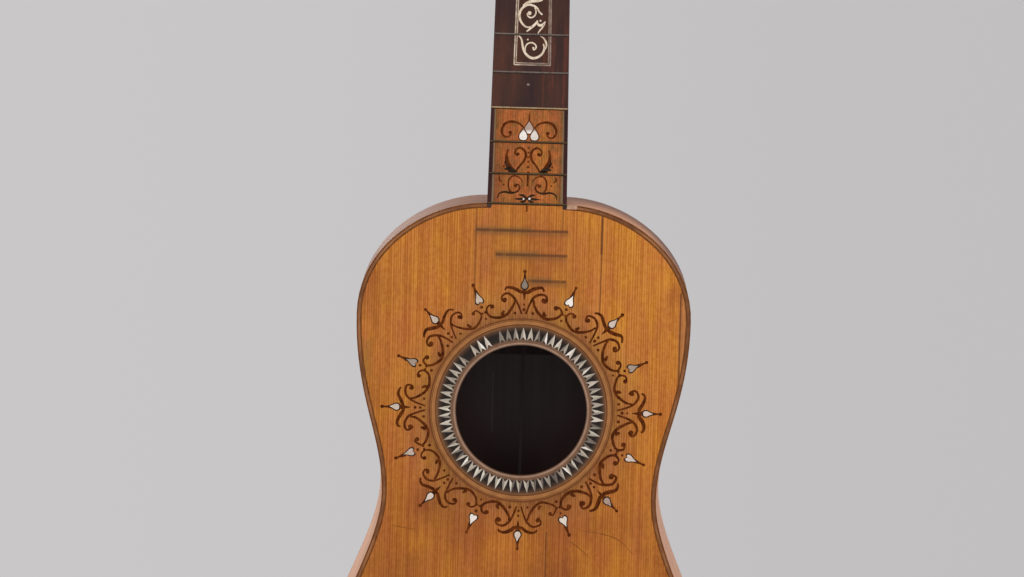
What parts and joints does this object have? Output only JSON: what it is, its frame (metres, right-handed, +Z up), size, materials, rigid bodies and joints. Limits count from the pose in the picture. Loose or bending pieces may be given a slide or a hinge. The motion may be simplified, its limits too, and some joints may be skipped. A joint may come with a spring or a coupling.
{
  "type": "guitar",
  "caption": "Unstrung early guitar with a figure-eight body, inlaid open soundhole, spruce tongue on the neck, metal frets, low scrolled bridge and rear pegs that turn.",
  "frame": {"origin": "middle of the neck's depth and width, level with the nut's playing edge, where the yoke of a wall hanger goes round the neck under the head's shoulders", "axes": "+Z up the neck towards the head, +X to the treble side (right, seen from the front), -Y out of the soundboard towards the player's front"},
  "size_m": [0.2596, 0.1, 0.9575],
  "materials": {
    "spruce": "old varnish over spruce, satin, fine straight grain along the strings",
    "binding": "dark stained hardwood, satin",
    "light_inlay": "light hardwood inlay under varnish, satin",
    "mastic": "black mastic filler, matt",
    "rib_wood": "varnished pinkish-brown fruitwood, satin",
    "rosewood": "dark reddish streaked hardwood, satin",
    "ebony": "black hardwood, satin",
    "bone": "aged bone, satin",
    "fret_metal": "dull, tarnished fret metal",
    "iron": "wrought iron, dark",
    "inner_wood": "bare softwood, matt",
    "pearl": "mother of pearl, polished, varying from piece to piece",
    "ivory": "aged ivory-coloured inlay, satin"
  },
  "bodies": {
    "root": {"soundboard": "spruce", "front_binding": "binding", "rosette_edge_ring": "light_inlay", "rosette_mastic_ring": "mastic", "rosette_wood_ring": "light_inlay", "rib_bass": "rib_wood", "rib_treble": "rib_wood", "back_bass": "rib_wood", "back_treble": "rib_wood", "back_centre_strip": "binding", "back_binding": "binding", "neck": "rosewood", "heel": "rosewood", "fingerboard": "rosewood", "tongue_border_bass": "binding", "tongue_border_treble": "binding", "fret_01": "fret_metal", "fret_02": "fret_metal", "fret_03": "fret_metal", "fret_04": "fret_metal", "fret_05": "fret_metal", "fret_06": "fret_metal", "fret_07": "fret_metal", "fret_08": "fret_metal", "fret_09": "fret_metal", "fret_10": "fret_metal", "fret_11": "fret_metal", "fret_12": "fret_metal", "nut": "bone", "head": "rosewood", "head_veneer": "ebony", "bridge": "ebony", "bridge_moustache_bass": "ebony", "bridge_moustache_treble": "ebony", "neck_block": "inner_wood", "tail_block": "inner_wood", "soundboard_bar_1": "inner_wood", "soundboard_bar_2": "inner_wood", "soundboard_bar_3": "inner_wood", "back_bar_1": "inner_wood", "back_bar_2": "inner_wood", "back_bar_3": "inner_wood", "lining_front_bass": "inner_wood", "lining_front_treble": "inner_wood", "lining_back_bass": "inner_wood", "lining_back_treble": "inner_wood", "neck_nail": "iron", "end_button": "ebony"},
    "peg_1_body": {"peg_1": "ebony"},
    "peg_2_body": {"peg_2": "ebony"},
    "peg_3_body": {"peg_3": "ebony"},
    "peg_4_body": {"peg_4": "ebony"},
    "peg_5_body": {"peg_5": "ebony"},
    "peg_6_body": {"peg_6": "ebony"},
    "peg_7_body": {"peg_7": "ebony"},
    "peg_8_body": {"peg_8": "ebony"},
    "peg_9_body": {"peg_9": "ebony"},
    "peg_10_body": {"peg_10": "ebony"}
  },
  "joints": [
    {"name": "peg_1_turn", "type": "hinge", "parent": "root", "child": "peg_1_body", "pos_m": [-0.0135, -0.00293, 0.03826], "axis": [0, 0.9781, -0.2079], "continuous": true},
    {"name": "peg_2_turn", "type": "hinge", "parent": "root", "child": "peg_2_body", "pos_m": [0.0135, -0.00293, 0.03826], "axis": [0, 0.9781, -0.2079], "continuous": true},
    {"name": "peg_3_turn", "type": "hinge", "parent": "root", "child": "peg_3_body", "pos_m": [-0.01525, 0.0031, 0.06662], "axis": [0, 0.9781, -0.2079], "continuous": true},
    {"name": "peg_4_turn", "type": "hinge", "parent": "root", "child": "peg_4_body", "pos_m": [0.01525, 0.0031, 0.06662], "axis": [0, 0.9781, -0.2079], "continuous": true},
    {"name": "peg_5_turn", "type": "hinge", "parent": "root", "child": "peg_5_body", "pos_m": [-0.017, 0.00913, 0.09499], "axis": [0, 0.9781, -0.2079], "continuous": true},
    {"name": "peg_6_turn", "type": "hinge", "parent": "root", "child": "peg_6_body", "pos_m": [0.017, 0.00913, 0.09499], "axis": [0, 0.9781, -0.2079], "continuous": true},
    {"name": "peg_7_turn", "type": "hinge", "parent": "root", "child": "peg_7_body", "pos_m": [-0.01875, 0.01516, 0.12336], "axis": [0, 0.9781, -0.2079], "continuous": true},
    {"name": "peg_8_turn", "type": "hinge", "parent": "root", "child": "peg_8_body", "pos_m": [0.01875, 0.01516, 0.12336], "axis": [0, 0.9781, -0.2079], "continuous": true},
    {"name": "peg_9_turn", "type": "hinge", "parent": "root", "child": "peg_9_body", "pos_m": [-0.0205, 0.02119, 0.15172], "axis": [0, 0.9781, -0.2079], "continuous": true},
    {"name": "peg_10_turn", "type": "hinge", "parent": "root", "child": "peg_10_body", "pos_m": [0.0205, 0.02119, 0.15172], "axis": [0, 0.9781, -0.2079], "continuous": true}
  ]
}
